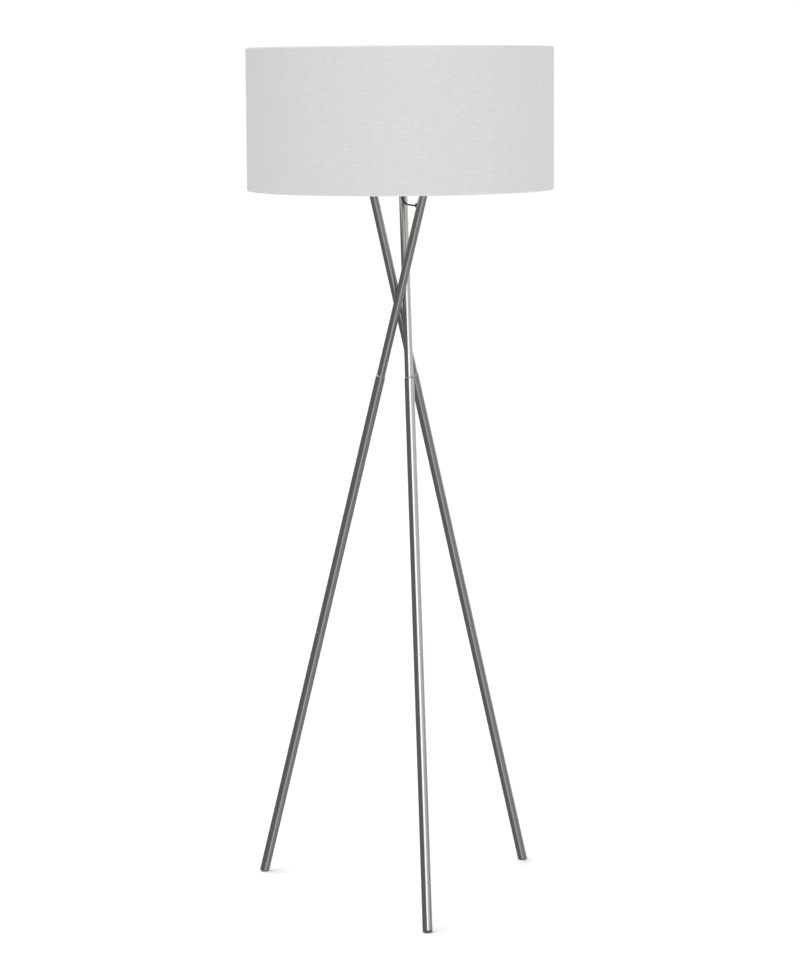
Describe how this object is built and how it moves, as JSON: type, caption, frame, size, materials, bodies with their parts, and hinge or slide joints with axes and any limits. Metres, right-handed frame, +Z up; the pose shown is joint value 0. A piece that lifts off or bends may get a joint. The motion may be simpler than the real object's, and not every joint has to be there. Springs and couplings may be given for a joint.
{
  "type": "tripod floor lamp",
  "caption": "Floor lamp with slim leaning tube legs crossing at a narrow waist under a wide fabric drum shade with a rotary switch.",
  "frame": {"origin": "on the lamp's vertical axis, at floor level", "axes": "+Z up along the shade's axis; +Y towards the back of the lamp, away from the front foot; +X to the right seen from the front"},
  "size_m": [0.54, 0.5552, 1.509],
  "materials": {
    "brushed_steel": "satin brushed nickel, brushed along the tubes",
    "turned_steel": "turned steel, slightly darker",
    "zinc_steel": "bright zinc plate",
    "brass": "plain drawn brass",
    "black_plastic": "fine moulded satin black",
    "ceramic": "glazed off-white ceramic",
    "rubber": "matt black rubber",
    "flex_sheath": "black PVC sheath, slight sheen",
    "opal_glass": "opal white glass, smooth",
    "white_wire": "white powder coat",
    "shade_liner": "smooth white laminate",
    "shade_fabric": "light grey linen-look weave with horizontal slubs"
  },
  "bodies": {
    "stand": {"leg_left_foot_tube": "brushed_steel", "leg_left_lower_tube": "brushed_steel", "leg_left_middle_tube": "brushed_steel", "leg_left_top_tube": "brushed_steel", "leg_left_lower_joiner": "turned_steel", "leg_left_middle_joiner": "turned_steel", "leg_left_upper_joiner": "turned_steel", "leg_left_rubber_foot": "rubber", "leg_left_top_plug": "turned_steel", "leg_left_plug_screw": "zinc_steel", "leg_front_foot_tube": "brushed_steel", "leg_front_lower_tube": "brushed_steel", "leg_front_middle_tube": "brushed_steel", "leg_front_top_tube": "brushed_steel", "leg_front_lower_joiner": "turned_steel", "leg_front_middle_joiner": "turned_steel", "leg_front_upper_joiner": "turned_steel", "leg_front_rubber_foot": "rubber", "leg_front_top_plug": "turned_steel", "leg_front_plug_screw": "zinc_steel", "leg_right_foot_tube": "brushed_steel", "leg_right_lower_tube": "brushed_steel", "leg_right_middle_tube": "brushed_steel", "leg_right_top_tube": "brushed_steel", "leg_right_lower_joiner": "turned_steel", "leg_right_middle_joiner": "turned_steel", "leg_right_upper_joiner": "turned_steel", "leg_right_rubber_foot": "rubber", "leg_right_top_plug": "turned_steel", "leg_right_plug_screw": "zinc_steel", "waist_spacer_left_front": "turned_steel", "waist_spacer_front_right": "turned_steel", "waist_spacer_right_left": "turned_steel", "top_plate": "brushed_steel", "entry_nipple": "zinc_steel", "nipple_nut": "zinc_steel", "nipple_bush": "black_plastic", "lampholder_cap": "black_plastic", "lampholder_sleeve": "black_plastic", "lampholder_insert": "ceramic", "screw_contact": "brass", "centre_contact": "brass", "switch_body": "black_plastic", "flex_grommet": "rubber", "mains_outlet_bush": "rubber", "flex_loop": "flex_sheath", "flex_in_leg": "flex_sheath"},
    "shade": {"shade_fabric": "shade_fabric", "shade_liner": "shade_liner", "shade_top_ring": "white_wire", "shade_bottom_ring": "white_wire", "shade_spider": "white_wire"},
    "shade_clamp": {"shade_ring": "black_plastic"},
    "bulb": {"bulb_glass": "opal_glass", "bulb_cap": "zinc_steel", "bulb_contact": "black_plastic"},
    "switch": {"switch_spindle": "zinc_steel", "switch_knob": "black_plastic"}
  },
  "joints": [
    {"name": "shade_swivel", "type": "hinge", "parent": "stand", "child": "shade", "pos_m": [0, 0, 1.31], "axis": [0, 0, 1], "continuous": true},
    {"name": "shade_ring_turn", "type": "hinge", "parent": "stand", "child": "shade_clamp", "pos_m": [0, 0, 1.3145], "axis": [0, 0, 1], "range_deg": [0, 1080]},
    {"name": "bulb_lift", "type": "slide", "parent": "stand", "child": "bulb", "axis": [0, 0, 1], "range_m": [0, 0.2]},
    {"name": "switch_turn", "type": "hinge", "parent": "stand", "child": "switch", "pos_m": [0, 0, 1.2955], "axis": [0.5, 0.866, 0], "continuous": true}
  ]
}
